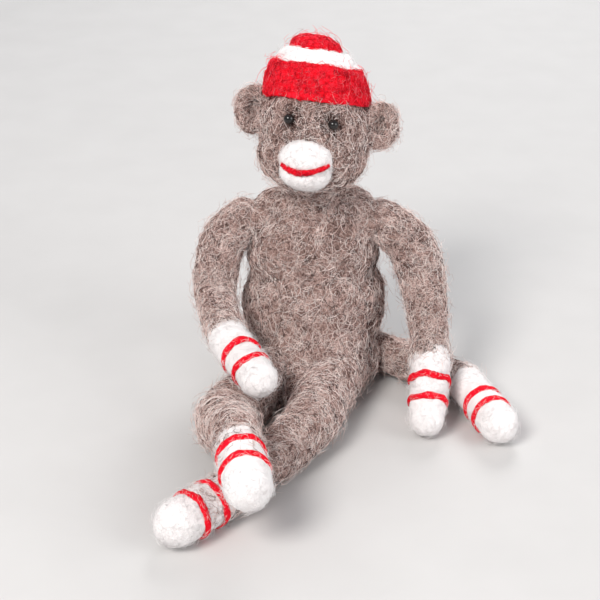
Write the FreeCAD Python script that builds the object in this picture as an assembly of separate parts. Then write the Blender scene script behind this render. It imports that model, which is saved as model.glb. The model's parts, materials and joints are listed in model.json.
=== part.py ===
"""Needle-felted sock monkey doll, seated with its ankles crossed, on a bendable wire armature.

Frame: millimetres, +Z up, the doll faces -Y, and the origin is the middle of its flat seat on the table.
Left and right are the doll's own, so its right side is at -X.

How it is built. Each limb is a row of felted wool lengths on one wire. The wire bends between the lengths,
so every length starts with a round knuckle centred on its bend, and the length before it ends in a cup that
clears that knuckle. A limb joins the torso through a loose knuckle of its own, because it can swing two ways
there. The torso and the head are shells of grey wool over cores of white wool. The cap, muzzle, ears, stripes
and bead eyes are separate pieces fixed to them.
"""

import FreeCAD, Part
import math
import os

Vector = FreeCAD.Vector
UP = Vector(0, 0, 1)

# Wire and clearances
WIRE_R = 0.8  # a chenille stem with its pile pressed flat
WIRE_ROOM = 0.05  # between a wire and the wool felted round it
WIRE_INSET = 1.0  # a wire stops this far inside the surface of its wool
GAP = 0.4  # between a knuckle and the cup round it
TOUCH = 0.03  # between pieces that are fixed together
POLE = 1.0  # radius of the small flat where a turned outline meets its axis

# A length narrows towards its two bends as cones with their points on the bend, so it can turn without
# touching the next length. The angles are from the length's own axis.
NEAR_CONE = 62.0  # at the bend it hangs from
FAR_CONE = 42.0  # at the bend that it carries
ROOT_CONE = 50.0  # at a shoulder, a hip or the root of the tail

# Torso, turned about Z
SEAT_R = 11.0
BELLY_R, BELLY_Z = 20.8, 19.0
CHEST_R, CHEST_Z = 13.6, 50.0
TORSO_TOP = 56.0
CORE_R, CORE_LOW, CORE_MID, CORE_HIGH = 15.0, 15.0, 27.0, 47.5
SPINE_LOW, SPINE_HIGH = 12.0, 49.6
CORE_SKIN = 1.6  # wool left between a core and a socket

# Neck and head. The head's own frame has its origin at its middle and the face towards -Y.
NECK = Vector(0, 0, 57)
NECK_R = 6.0
HEAD_AT = Vector(-0.4, -2, 72.2)
HEAD_YAW, HEAD_PITCH, HEAD_ROLL = -7.0, -20.0, 5.0
HEAD_R, HEAD_LOW, HEAD_HIGH = 15.4, -15.8, 20.0
HEAD_CORE_R = 10.5
CAP_LOW, BAND_LOW, CROWN_LOW, CAP_TOP = 9.4, 18.5, 22.4, 26.2
CAP_R, BAND_R, CROWN_BASE_R, CROWN_R = 15.6, 12.4, 8.7, 7.0
MUZZLE_AT, MUZZLE_SIZE = Vector(0, -11, -7.6), Vector(7.6, 7.2, 7.3)
MOUTH_WIDE, MOUTH_PROUD, MOUTH_DEEP = 1.5, 0.3, 0.6
MOUTH_AT, MOUTH_SLOPE = Vector(0, -15, -9.9), 27.0
EYE_R, EYE_X, EYE_Z, EYE_SINK = 1.5, 5.8, 3.4, 0.5
EAR_X, EAR_Z = 17.5, 4.4
EAR_RING, EAR_RIM = 4.1, 1.9  # radius of the middle of the rim, and half its thickness
EAR_BACK = 2.1  # thickness of the back
EAR_BACK_IN = 0.2  # the back starts this far inside the rear of the rim

# Limbs: the bends from the torso outwards, then the middle of the round tip.
ARM_ENDS = {
    "left": [Vector(20.4, 0, 48.4), Vector(30.1, -9.8, 32.4),
             Vector(31.4, -26.3, 15.8), Vector(29.7, -39.6, 5.6)],
    "right": [Vector(-20.6, 0, 48.6), Vector(-28.6, -11, 29.4),
              Vector(-24.4, -28.5, 24.4), Vector(-15.2, -46.5, 21.6)],
}
LEG_ENDS = {
    "left": [Vector(9, -13, 9), Vector(-2.5, -48.5, 8),
             Vector(-21.5, -75, 6.2), Vector(-33.7, -88.5, 6.4)],
    "right": [Vector(-9, -13, 9), Vector(-24.3, -44, 9),
              Vector(-20, -73.5, 22.2), Vector(-16.6, -92, 19.4)],
}
TAIL_ENDS = [Vector(17, -3, 6.3), Vector(29.5, -12.5, 6.2), Vector(41.5, -21.3, 5.9), Vector(48.6, -43, 5.8)]

# Radii of the knuckle at each bend and of the tip, then of the wool half way along each length.
ARM_KNUCKLES, ARM_MIDDLES = [6.0, 6.0, 5.1, 4.9], [6.2, 5.9, 5.2]
LEG_KNUCKLES, LEG_MIDDLES = [7.4, 7.0, 5.6, 5.8], [7.9, 6.6, 5.6]
TAIL_KNUCKLES, TAIL_MIDDLES = [5.0, 5.2, 5.0, 5.1], [5.3, 5.0, 5.1]

# Two red stripes on each white tip, measured back from the middle of the tip.
STRIPE_OUTER, STRIPE_INNER = 4.6, 10.6
STRIPE_R, STRIPE_SUNK = 0.85, 0.3

ARM_NAMES = ["upper_arm", "forearm", "hand"]
LEG_NAMES = ["thigh", "shin", "foot"]
TAIL_NAMES = ["tail_base", "tail_middle", "tail_tip"]


def polar(radius, degrees, z):
    """A point of an outline: radius from (0, z), with the angle measured from +Z towards +X."""
    a = math.radians(degrees)
    return Vector(radius * math.sin(a), 0, z + radius * math.cos(a))


def through(start, middle, end):
    """The arc through three points, or the line between the outer two where they lie in line."""
    turn = (middle - start).cross(end - middle).Length
    if turn < 1e-3 * (end - start).Length:
        return Part.LineSegment(start, end).toShape()
    return Part.Arc(start, middle, end).toShape()


def line(start, end):
    return Part.LineSegment(start, end).toShape()


def turned(edges):
    """The solid that a closed outline in the XZ plane makes when it is turned about Z."""
    face = Part.Face(Part.Wire(edges))
    solid = face.revolve(Vector(0, 0, 0), UP, 360)
    return solid if solid.Volume > 0 else solid.reversed()


def ball(radius, at):
    return Part.makeSphere(radius, at)


def egg(half_sizes, at):
    """A ball stretched to three half sizes."""
    m = FreeCAD.Matrix()
    m.scale(half_sizes)
    m.move(at)
    return Part.makeSphere(1.0).transformGeometry(m)


def along(start, end):
    """The placement that puts +Z of a length's own frame on the line from start to end."""
    return FreeCAD.Placement(start, FreeCAD.Rotation(UP, end - start))


def rod(start, end, radius):
    return Part.makeCylinder(radius, (end - start).Length, start, end - start)


def wool_length(length, knuckle, middle, far, own_knuckle, tip):
    """One length of felted wool on its own axis, its near bend at z = 0 and its far bend or tip at z = length.

    knuckle and far are the radii at the two ends. A length with its own knuckle starts round, and any other
    starts with a cup. A tip ends round, and any other length ends with a cup."""
    edges = []
    near_cone = NEAR_CONE if own_knuckle else ROOT_CONE
    near_rim = Vector(knuckle, 0, knuckle / math.tan(math.radians(near_cone)))
    if own_knuckle:
        start, low = polar(knuckle, 180, 0), knuckle
        edges.append(Part.Arc(start, polar(knuckle, 90, 0), polar(knuckle, near_cone, 0)).toShape())
    else:
        start, low = polar(knuckle + GAP, 0, 0), knuckle + GAP
        edges.append(Part.Arc(start, polar(low, near_cone / 2, 0), polar(low, near_cone, 0)).toShape())
    edges.append(line(polar(low, near_cone, 0), near_rim))
    half_way = Vector(middle, 0, length / 2)
    if tip:
        far_rim, end = Vector(far, 0, length), Vector(0, 0, length + far)
        edges.append(through(near_rim, half_way, far_rim))
        edges.append(Part.Arc(far_rim, polar(far, 45, length), end).toShape())
    else:
        far_rim = Vector(far, 0, length - far / math.tan(math.radians(FAR_CONE)))
        lip, end = polar(far + GAP, 180 - FAR_CONE, length), polar(far + GAP, 180, length)
        edges.append(through(near_rim, half_way, far_rim))
        edges.append(line(far_rim, lip))
        edges.append(Part.Arc(lip, polar(far + GAP, 180 - FAR_CONE / 2, length), end).toShape())
    edges.append(line(end, start))
    return turned(edges)


def wire_span(length, knuckle, far, own_knuckle, tip):
    """Where the wire inside a length starts and ends on its axis."""
    low = 0 if own_knuckle else knuckle + GAP + WIRE_INSET
    high = length if tip else length - far - GAP - WIRE_INSET
    return low, high


def stripes(length, middle, far):
    """The two rings of red wool near a tip, half sunk in the white wool."""
    rings = []
    for back in (STRIPE_OUTER, STRIPE_INNER):
        share = min(1, back / (length / 2))
        radius = far + (middle - far) * share - STRIPE_SUNK
        rings.append(Part.makeTorus(radius, STRIPE_R, Vector(0, 0, length - back), UP))
    return rings


def limb(names, root_name, ends, knuckles, middles):
    """Every piece of one limb, by name: its root knuckle, its lengths of wool, their wires and stripes."""
    made = {root_name: ball(knuckles[0], ends[0])}
    for i, name in enumerate(names):
        near, far = ends[i], ends[i + 1]
        own_knuckle, tip = i > 0, i == len(names) - 1
        length = (far - near).Length
        wool = wool_length(length, knuckles[i], middles[i], knuckles[i + 1], own_knuckle, tip)
        low, high = wire_span(length, knuckles[i], knuckles[i + 1], own_knuckle, tip)
        wire = rod(Vector(0, 0, low), Vector(0, 0, high), WIRE_R)
        room = rod(Vector(0, 0, low - WIRE_ROOM), Vector(0, 0, high + WIRE_ROOM), WIRE_R + WIRE_ROOM)
        wool = wool.cut(room)
        pieces = {name + "_felt": wool, name + "_wire": wire}
        if tip:
            rings = stripes(length, middles[i], knuckles[i + 1])
            for ring in rings:
                pieces[name + "_felt"] = pieces[name + "_felt"].cut(ring)
            pieces[name + "_stripes"] = Part.makeCompound(rings)
        for piece_name, shape in pieces.items():
            shape.Placement = along(near, far)
            made[piece_name] = shape
    return made


def sided(side, names):
    return [side + "_" + name for name in names]


def all_limbs():
    """The four limbs and the tail, as lists of arguments for limb()."""
    found = []
    for side in ("left", "right"):
        arm, leg = sided(side, ARM_NAMES), sided(side, LEG_NAMES)
        found.append((arm, side + "_shoulder_felt", ARM_ENDS[side], ARM_KNUCKLES, ARM_MIDDLES))
        found.append((leg, side + "_hip_felt", LEG_ENDS[side], LEG_KNUCKLES, LEG_MIDDLES))
    found.append((TAIL_NAMES, "tail_root_felt", TAIL_ENDS, TAIL_KNUCKLES, TAIL_MIDDLES))
    return found


def thigh_room(side):
    """The space that a thigh passes through as it swings at the hip, as cones round where it can point."""
    hip, knee = LEG_ENDS[side][0], LEG_ENDS[side][1]
    reach = 30.0
    wide = reach * math.tan(math.radians(ROOT_CONE + 1))
    cones = []
    for lift in (-60, -30, 0, 20):
        aim = FreeCAD.Rotation(Vector(-1, 0, 0), lift).multVec(knee - hip)
        cones.append(Part.makeCone(0.0, wide, reach, hip, aim))
    return cones


def tail_room():
    """The space round the tail where it leaves the torso, and swings and lifts."""
    root, next_bend = TAIL_ENDS[0], TAIL_ENDS[1]
    reach = 20.0
    wide = reach * math.tan(math.radians(ROOT_CONE + 1))
    aims = [FreeCAD.Rotation(UP, swing).multVec(next_bend - root) for swing in (-15, 0, 25)]
    side_axis = (next_bend - root).cross(UP)
    aims.append(FreeCAD.Rotation(side_axis, 30).multVec(next_bend - root))
    return [Part.makeCone(0.0, wide, reach, root, aim) for aim in aims]


def torso_outline():
    seat_edge = Vector(SEAT_R, 0, 0)
    belly, chest = Vector(BELLY_R, 0, BELLY_Z), Vector(CHEST_R, 0, CHEST_Z)
    top, top_middle = Vector(POLE, 0, TORSO_TOP), Vector(0, 0, TORSO_TOP)
    return [
        line(Vector(0, 0, 0), seat_edge),
        Part.Arc(seat_edge, Vector(18.2, 0, 7), belly).toShape(),
        Part.Arc(belly, Vector(18.6, 0, 36), chest).toShape(),
        Part.Arc(chest, Vector(9, 0, 54.4), top).toShape(),
        line(top, top_middle),
        line(top_middle, Vector(0, 0, 0)),
    ]


def core_outline():
    low, high = Vector(POLE, 0, CORE_LOW), Vector(POLE, 0, CORE_HIGH)
    low_middle, high_middle = Vector(0, 0, CORE_LOW), Vector(0, 0, CORE_HIGH)
    wide = Vector(CORE_R, 0, CORE_MID)
    return [
        line(low_middle, low),
        Part.Arc(low, Vector(11.5, 0, 18.5), wide).toShape(),
        Part.Arc(wide, Vector(11.5, 0, 39.5), high).toShape(),
        line(high, high_middle),
        line(high_middle, low_middle),
    ]


def frame_rods(radius):
    """The wires twisted together in the torso: a spine, a yoke at the shoulders, and stubs to hips and tail."""
    low, high = Vector(0, 0, SPINE_LOW), Vector(0, 0, SPINE_HIGH)
    reach = ARM_ENDS["left"][0].x - ARM_KNUCKLES[0] - GAP - WIRE_INSET
    yoke_z = ARM_ENDS["left"][0].z - 3
    made = rod(low, high, radius).fuse(rod(Vector(-reach, 0, yoke_z), Vector(reach, 0, yoke_z), radius))
    roots = [(LEG_ENDS["left"][0], LEG_KNUCKLES[0]), (LEG_ENDS["right"][0], LEG_KNUCKLES[0])]
    roots.append((TAIL_ENDS[0], TAIL_KNUCKLES[0]))
    for root, knuckle in roots:
        aim = root - low
        stub = aim * ((aim.Length - knuckle - GAP - WIRE_INSET) / aim.Length)
        made = made.fuse(rod(low, low + stub, radius))
    return made.removeSplitter()


def torso():
    """The torso's wool, its core and the wires in it."""
    wool = turned(torso_outline())
    core = turned(core_outline())
    sockets = [(NECK, NECK_R), (TAIL_ENDS[0], TAIL_KNUCKLES[0])]
    for side in ("left", "right"):
        sockets.append((ARM_ENDS[side][0], ARM_KNUCKLES[0]))
        sockets.append((LEG_ENDS[side][0], LEG_KNUCKLES[0]))
    for at, radius in sockets:
        wool = wool.cut(ball(radius + GAP, at))
        core = core.cut(ball(radius + GAP + CORE_SKIN, at))
    for room in thigh_room("left") + thigh_room("right") + tail_room():
        wool = wool.cut(room)
    wool = wool.cut(core).cut(frame_rods(WIRE_R + WIRE_ROOM))
    core = core.cut(frame_rods(WIRE_R + WIRE_ROOM))
    return {"torso_felt": wool, "torso_core": core, "torso_wire": frame_rods(WIRE_R)}


def head_placement():
    turn = FreeCAD.Rotation(UP, HEAD_YAW)
    turn = turn.multiply(FreeCAD.Rotation(Vector(1, 0, 0), HEAD_PITCH))
    turn = turn.multiply(FreeCAD.Rotation(Vector(0, 1, 0), HEAD_ROLL))
    return FreeCAD.Placement(HEAD_AT, turn)


def head_shape():
    """The head's outer surface in its own frame, a blunt egg turned about Z."""
    low, high = Vector(POLE, 0, HEAD_LOW), Vector(POLE, 0, HEAD_HIGH)
    cheek, brow = Vector(HEAD_R, 0, -2), Vector(11.2, 0, 15.5)
    return turned([
        line(Vector(0, 0, HEAD_LOW), low),
        Part.Arc(low, Vector(11.6, 0, -11.4), cheek).toShape(),
        Part.Arc(cheek, Vector(14.8, 0, 8), brow).toShape(),
        Part.Arc(brow, Vector(6.6, 0, 18.8), high).toShape(),
        line(high, Vector(0, 0, HEAD_HIGH)),
        line(Vector(0, 0, HEAD_HIGH), Vector(0, 0, HEAD_LOW)),
    ])


def cap(skull):
    """The cap's red band, white band and red crown, in the head's own frame."""
    low, join = Vector(CAP_R, 0, CAP_LOW), Vector(BAND_R, 0, BAND_LOW)
    step, crown = Vector(CROWN_BASE_R, 0, CROWN_LOW), Vector(CROWN_R, 0, CROWN_LOW)
    top, top_middle = Vector(POLE, 0, CAP_TOP), Vector(0, 0, CAP_TOP)
    brim_base, band_base, crown_base = (Vector(0, 0, z) for z in (CAP_LOW, BAND_LOW, CROWN_LOW))
    brim = turned([line(brim_base, low), Part.Arc(low, Vector(15.0, 0, 14.2), join).toShape(),
                   line(join, band_base), line(band_base, brim_base)])
    band = turned([line(band_base, join), Part.Arc(join, Vector(10.9, 0, 20.8), step).toShape(),
                   line(step, crown_base), line(crown_base, band_base)])
    top_knob = turned([line(crown_base, crown), Part.Arc(crown, Vector(5.0, 0, 25.2), top).toShape(),
                       line(top, top_middle), line(top_middle, crown_base)])
    return {"cap_brim_band": brim.cut(skull), "cap_white_band": band.cut(skull), "cap_crown": top_knob}


def muzzle(skull):
    """The white muzzle pad and the red line of the mouth across it, in the head's own frame."""
    pad = egg(MUZZLE_SIZE, MUZZLE_AT).cut(skull)
    proud = Vector(MOUTH_PROUD, MOUTH_PROUD, MOUTH_PROUD)
    deep = Vector(MOUTH_DEEP, MOUTH_DEEP, MOUTH_DEEP)
    skin = egg(MUZZLE_SIZE + proud, MUZZLE_AT).cut(egg(MUZZLE_SIZE - deep, MUZZLE_AT))
    slab = Part.makeBox(30, 30, MOUTH_WIDE, Vector(-15, -15, -MOUTH_WIDE / 2))
    slab.Placement = FreeCAD.Placement(MOUTH_AT, FreeCAD.Rotation(Vector(1, 0, 0), MOUTH_SLOPE))
    mouth = skin.common(slab).cut(skull)
    return {"muzzle": pad.cut(mouth), "mouth": mouth}


def ears(beside):
    """Two cupped ears, each a round rim with a thin back, cut to fit what they stand beside."""
    made = {}
    forward = Vector(0, -1, 0)
    for side, sign in (("left", 1), ("right", -1)):
        at = Vector(sign * EAR_X, 0, EAR_Z)
        rim = Part.makeTorus(EAR_RING, EAR_RIM, at, forward)
        back = Part.makeCylinder(EAR_RING, EAR_BACK, at - forward * (EAR_RIM - EAR_BACK_IN), forward)
        made[side + "_ear"] = rim.fuse(back).cut(beside)
    return made


def eyes():
    """Two glass beads, each with its middle a little inside the face."""
    out = math.sqrt(HEAD_R ** 2 - EYE_X ** 2) - EYE_SINK
    sides = (("left", 1), ("right", -1))
    return {side + "_eye": ball(EYE_R, Vector(sign * EYE_X, -out, EYE_Z)) for side, sign in sides}


def head():
    """Every piece that turns with the head, and the knuckle of wool and the wire in the neck."""
    skull = head_shape()
    pieces = {**cap(skull), **muzzle(skull), **eyes()}
    pieces.update(ears(skull.fuse(pieces["cap_brim_band"])))
    core = ball(HEAD_CORE_R, Vector(0, 0, 1))
    wool = skull.cut(core)
    for side in ("left", "right"):
        eye = pieces[side + "_eye"]
        wool = wool.cut(ball(EYE_R + TOUCH, eye.CenterOfMass))
    pieces["head_felt"], pieces["head_core"] = wool, core
    for shape in pieces.values():
        shape.Placement = head_placement().multiply(shape.Placement)
    pieces["head_felt"] = pieces["head_felt"].cut(ball(NECK_R + GAP, NECK))
    pieces["head_core"] = pieces["head_core"].cut(ball(NECK_R + GAP + CORE_SKIN, NECK))
    room = rod(NECK - UP * (NECK_R - WIRE_INSET + WIRE_ROOM), NECK + UP * (NECK_R - WIRE_INSET + WIRE_ROOM),
               WIRE_R + WIRE_ROOM)
    pieces["neck_wire"] = rod(NECK - UP * (NECK_R - WIRE_INSET), NECK + UP * (NECK_R - WIRE_INSET), WIRE_R)
    pieces["neck_felt"] = ball(NECK_R, NECK).cut(room)
    return pieces


def main():
    os.makedirs("parts", exist_ok=True)
    pieces = {**torso(), **head()}
    for limb_parts in all_limbs():
        pieces.update(limb(*limb_parts))
    for name, shape in sorted(pieces.items()):
        solids = shape.Solids
        good = shape.isValid() and all(s.isClosed() and s.Volume > 0 for s in solids)
        state = "ok" if good else "BAD"
        print(f"{name:26s} solids {len(solids)}  volume {shape.Volume / 1000:8.3f} cm3  {state}")
        whole = solids[0] if len(solids) == 1 else Part.makeCompound(solids)
        whole.exportStep(f"parts/{name}.step")


main()
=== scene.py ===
"""Needle-felted sock monkey doll: heathered grey wool, with white hands, feet, muzzle and cap band, and red
stripes.

Every soft piece has two layers. The felt is a closed, lumpy body with a felted surface. The fibres are fine
curly strands grown over it. Most lie in the surface, and a few stray into the air.
"""

import json
import math

import bmesh
import bpy
import numpy as np
from mathutils import Euler, Matrix, Vector, noise
from mathutils.bvhtree import BVHTree


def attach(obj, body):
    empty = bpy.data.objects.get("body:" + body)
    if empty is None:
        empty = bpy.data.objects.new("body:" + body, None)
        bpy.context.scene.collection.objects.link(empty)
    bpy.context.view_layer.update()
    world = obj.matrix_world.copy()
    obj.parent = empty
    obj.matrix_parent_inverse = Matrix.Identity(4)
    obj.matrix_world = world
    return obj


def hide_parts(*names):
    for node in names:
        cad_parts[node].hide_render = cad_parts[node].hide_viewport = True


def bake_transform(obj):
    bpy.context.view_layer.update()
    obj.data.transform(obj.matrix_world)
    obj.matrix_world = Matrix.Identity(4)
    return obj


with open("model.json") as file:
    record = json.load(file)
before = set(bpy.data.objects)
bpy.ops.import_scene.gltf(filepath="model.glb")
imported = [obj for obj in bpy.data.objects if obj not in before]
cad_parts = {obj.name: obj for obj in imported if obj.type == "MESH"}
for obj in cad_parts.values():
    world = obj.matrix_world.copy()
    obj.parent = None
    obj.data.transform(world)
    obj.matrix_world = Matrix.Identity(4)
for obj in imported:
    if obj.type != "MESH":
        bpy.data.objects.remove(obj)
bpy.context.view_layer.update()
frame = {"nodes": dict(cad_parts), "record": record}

MM = 0.001
SIDES = (("left", 1), ("right", -1))  # the doll's own sides, and the sign of x on each

# The camera looks down at the doll from in front.
CAMERA_TILT = 27.5  # degrees below the horizon
CAMERA_DISTANCE = 441.2 * MM
CAMERA_AIM = Vector((-4.4, 8.4, 16.2)) * MM
CAMERA_LENS, CAMERA_SENSOR = 90.0, 36.0

# Head: its middle from the neck's pivot, and how it is turned.
HEAD_FROM_NECK = Vector((-0.4, -2.0, 15.2)) * MM
HEAD_YAW, HEAD_PITCH, HEAD_ROLL = -7.0, -20.0, 5.0
HEAD_HALF = Vector((15.1, 14.5, 15.6)) * MM

# The shades of each mix of fibres, as (name of the shade, its share of the fibres). Some mixes also paint
# light or shade, as said above them.
GREY_FIBRES = (("dark", 0.19), ("brown", 0.17), ("grey", 0.18), ("rose", 0.22), ("cream", 0.24))
PALE_FIBRES = (("rose", 0.25), ("cream", 0.75))
# The head's mix is darker than the body's: painted shade, as less light falls on the head than on the body.
SHADED_HEAD_FIBRES = (("dark", 0.26), ("brown", 0.23), ("grey", 0.18), ("rose", 0.17), ("cream", 0.16))
CAP_FIBRES = (("red", 0.39), ("crimson", 0.13), ("scarlet", 0.42), ("pink", 0.06))
# Grey fibres between a foot's stripes: partly grey wool showing through, and partly painted shade on the
# white.
VEIL_AND_SHADE_FIBRES = (("brown", 0.35), ("grey", 0.40), ("rose", 0.25))
# Dark fibres round each bead: partly dark wool, and partly painted shade in the eye sockets.
BEAD_RING_AND_SHADE_FIBRES = (("dark", 0.75), ("brown", 0.25))
# The strays' mix has no dark shades: pale loose wool, made lighter also to paint backlight glowing in the fuzz
# round the outline.
BACKLIT_STRAY_FIBRES = (("grey", 0.28), ("rose", 0.34), ("cream", 0.38))
WHITE_FIBRES = (("white", 0.85), ("shade", 0.15))
RED_FIBRES = (("red", 0.42), ("crimson", 0.26), ("scarlet", 0.29), ("pink", 0.03))

# How fibres lie. Lengths, heights and widths are in mm, and curl is the turn in radians per mm. Lift is how
# far the middle of a fibre stands off the felt, and stray is how far its free end does.
STRAYS = {"length": 6.4, "lift": 1.2, "curl": 0.8, "stray": 3.1, "width": 0.08}
LONG = {"length": 8.5, "lift": 0.8, "curl": 0.35, "width": 0.11, "points": 8, "shades": PALE_FIBRES}
WHITE = {"points": 6, "shades": WHITE_FIBRES}
RED = {"points": 6, "shades": RED_FIBRES}
LENGTH_SPREAD = 0.35  # of the logarithm of the length
WANDER = 0.40  # random turn at each point of a fibre, in radians
WAVE, WAVE_STEP = 0.2 * MM, 1.9  # sideways wave of a fibre, and its phase from point to point
ROOT_DEPTH = 0.06 * MM  # how deep the ends of a fibre go into the felt
LOWEST = 0.1 * MM  # no fibre goes lower than this above the table
FIBRES_PER_PIECE = 4500

# Each felt's shades from dark to light, then the strength of its relief, then its sheen.
FELTS = {
    "grey": (((0.048, 0.027, 0.023), (0.17, 0.105, 0.090), (0.38, 0.255, 0.222), (0.70, 0.530, 0.480)),
             1.0, 0.1),
    "white": (((0.84, 0.79, 0.78), (0.88, 0.85, 0.845), (0.91, 0.89, 0.885)), 0.15, 0.25),
    "red": (((0.56, 0.003, 0.010), (0.80, 0.006, 0.020), (0.95, 0.024, 0.050)), 0.5, 0.0),
    "core": (((0.55, 0.50, 0.42), (0.70, 0.66, 0.58)), 0.5, 0.25),
}
FIBRE_COLOURS = {
    "dark": (0.070, 0.036, 0.031),
    "brown": (0.270, 0.165, 0.143),
    "grey": (0.510, 0.345, 0.305),
    "rose": (0.800, 0.600, 0.550),
    "cream": (0.970, 0.860, 0.820),
    "white": (0.91, 0.885, 0.88),
    "shade": (0.86, 0.81, 0.81),
    "pink": (0.90, 0.22, 0.25),
    "red": (0.86, 0.007, 0.022),
    "crimson": (0.38, 0.002, 0.010),
    "scarlet": (0.96, 0.050, 0.085),
}

# The seed of each piece's lumps and fibres.
SEEDS = {"torso": 3, "head": 5, "neck": 7, "ear": 11, "muzzle": 17, "mouth": 19, "cap": 23, "cap_band": 29,
         "left_arm": 41, "right_arm": 43, "left_leg": 61, "right_leg": 67, "tail": 83, "tail_tip": 91}
TIP_SEED = 10  # added to a limb's seed for its hand or foot

# Balls that merge into a body, as (middle, half sizes) in mm. The torso's are in the doll's frame, and the
# head's and the muzzle's are in the head's.
TORSO_BALLS = (
    ((-0.5, -0.8, 20.4), (20.1, 20.2, 20.2)),  # belly
    ((0.5, -8.5, 13.0), (16.0, 16.8, 12.0)),  # lower belly
    ((-4.0, -24.5, 7.4), (7.5, 10.5, 7.1)),  # wool between the thighs
    ((-0.8, 0.2, 36.5), (18.4, 15.8, 18.2)),  # chest
    ((0, 0.4, 47.5), (14.0, 11.0, 9.0)),  # shoulders
)
HEAD_BALLS = (
    ((0, -1.2, -5.8), (14.6, 13.2, 10.0)),  # cheeks
    ((0, -5.0, -6.5), (10.5, 9.2, 8.4)),  # jaw
    ((0, -9.0, 7.0), (9.5, 5.0, 4.0)),  # brow
)
MUZZLE_BALLS = (
    ((0, -11.0, -6.9), (7.4, 7.0, 6.2)),  # upper lip
    ((0, -10.8, -9.8), (6.9, 6.4, 5.0)),  # lower lip
)

# Places on the left of the head, in its own frame, in mm. The right ones are mirrored from them.
BEAD, BEAD_R = (5.9, -13.3, 3.5), 1.4
SOCKET = (5.9, -14.2, 3.6)
EAR = (17.2, -0.2, 4.6)
EAR_RIM = (3.5, 4.6)  # half the width and half the height of the middle of the rim

# The cap's bands in mm: the height of the bottom and the top, the radius at each, and how far the side bulges.
CAP_BRIM = (9.0, 18.4, 14.5, 12.3, 0.6)
CAP_BAND = (17.9, 22.3, 12.0, 8.6, 0.6)
CAP_CROWN = (21.6, 24.7, 6.8, 5.6, 0.6)
CAP_DOME = ((4.2, 25.5), (2.4, 26.0), (1.0, 26.1))  # (radius, height) over the top of the crown

# Radii in mm along each roll of felt, as (share of its length, radius).
ARM_RADII = {"left": ((0, 5.6), (0.15, 6.3), (0.35, 6.6), (0.6, 5.7), (0.8, 5.1), (1, 5.0)),
             "right": ((0, 5.5), (0.15, 6.0), (0.35, 5.9), (0.6, 5.4), (0.8, 5.2), (1, 5.0))}
LEG_RADII = {"left": ((0, 7.4), (0.15, 7.8), (0.4, 7.3), (0.65, 6.6), (0.85, 5.8), (1, 5.4)),
             "right": ((0, 7.2), (0.15, 7.8), (0.4, 7.9), (0.65, 7.2), (0.85, 6.2), (1, 5.5))}
TAIL_RADII = ((0, 5.2), (0.4, 5.2), (0.8, 4.9), (1, 4.7))
HAND_RADII = ((0, 5.2), (0.12, 5.5), (0.4, 5.3), (0.7, 5.0), (1, 4.9))
FOOT_RADII = ((0, 5.4), (0.12, 5.7), (0.4, 5.7), (0.7, 5.9), (1, 5.8))
TAIL_TIP_RADII = ((0, 4.8), (0.12, 5.1), (0.5, 5.1), (0.8, 5.2), (1, 5.1))

# How far the felt of an arm or a leg stands off its wire, in mm: at the root, half way along, and at the bend.
ARM_BOW = {"left": ((-2.0, 0.3, -2.6), (0.6, 0.8, 0.2), (-0.4, 0, 0.4)),
           "right": ((0.4, 0.3, -2.5), (-1.8, 2.0, 0.8), (0.6, 0, 0))}
LEG_BOW = {"left": ((-0.4, 0, -0.6), (-1.0, -0.4, -0.4), (-0.6, 0, -0.2)),
           "right": ((-1.0, 0, -1.6), (0.4, 0, -1.0), (0.3, 0, -0.8))}

# Stripes, as distances in mm back from the middle of the tip's round end.
HAND_STRIPES, FOOT_STRIPES, TAIL_STRIPES = (4.4, 10.6), (4.6, 10.8), (4.4, 10.2)
STRIPE_WIDE, STRIPE_THICK = 2.0 * MM, 0.52 * MM
FOOT_CUFF = 4.0  # mm of grey wool that runs on past the ankle
# More on the left foot, whose white between the stripes also gets painted shade from these grey fibres.
FOOT_VEIL_AND_SHADE = {"left": 900, "right": 240}  # grey fibres that show between the stripes

ARM_FIBRES, LEG_FIBRES, TAIL_FIBRES = 5200, 6600, 2800
LIMB_FLOOR, TIP_FLOOR, TORSO_FLOOR = 0.3 * MM, 0.2 * MM, 0.35 * MM  # where each rests on the table


# ---------------------------------------------------------------- materials

def principled(name, colour, roughness, sheen=0.0, coat=0.0, metallic=0.0):
    material = bpy.data.materials.new(name)
    material.use_nodes = True
    shader = material.node_tree.nodes["Principled BSDF"]
    shader.inputs["Base Color"].default_value = (*colour, 1)
    shader.inputs["Roughness"].default_value = roughness
    shader.inputs["Sheen Weight"].default_value = sheen
    shader.inputs["Sheen Roughness"].default_value = 0.6
    shader.inputs["Coat Weight"].default_value = coat
    shader.inputs["Metallic"].default_value = metallic
    return material, shader


def noise_node(tree, scale, detail=2.0, distortion=0.0, stretch=None):
    """A noise pattern in millimetres of the doll's own space. Scale is features per millimetre."""
    nodes, links = tree.nodes, tree.links
    place = nodes.new("ShaderNodeTexCoord")
    mapping = nodes.new("ShaderNodeMapping")
    mapping.inputs["Scale"].default_value = stretch or (1, 1, 1)
    pattern = nodes.new("ShaderNodeTexNoise")
    pattern.inputs["Scale"].default_value = scale / MM
    pattern.inputs["Detail"].default_value = detail
    pattern.inputs["Distortion"].default_value = distortion
    links.new(place.outputs["Object"], mapping.inputs["Vector"])
    links.new(mapping.outputs["Vector"], pattern.inputs["Vector"])
    return pattern


def ramp_node(tree, source, stops):
    ramp = tree.nodes.new("ShaderNodeValToRGB")
    while len(ramp.color_ramp.elements) < len(stops):
        ramp.color_ramp.elements.new(0.5)
    for element, (at, colour) in zip(ramp.color_ramp.elements, stops):
        element.position = at
        element.color = (*colour, 1)
    tree.links.new(source, ramp.inputs["Fac"])
    return ramp


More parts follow.
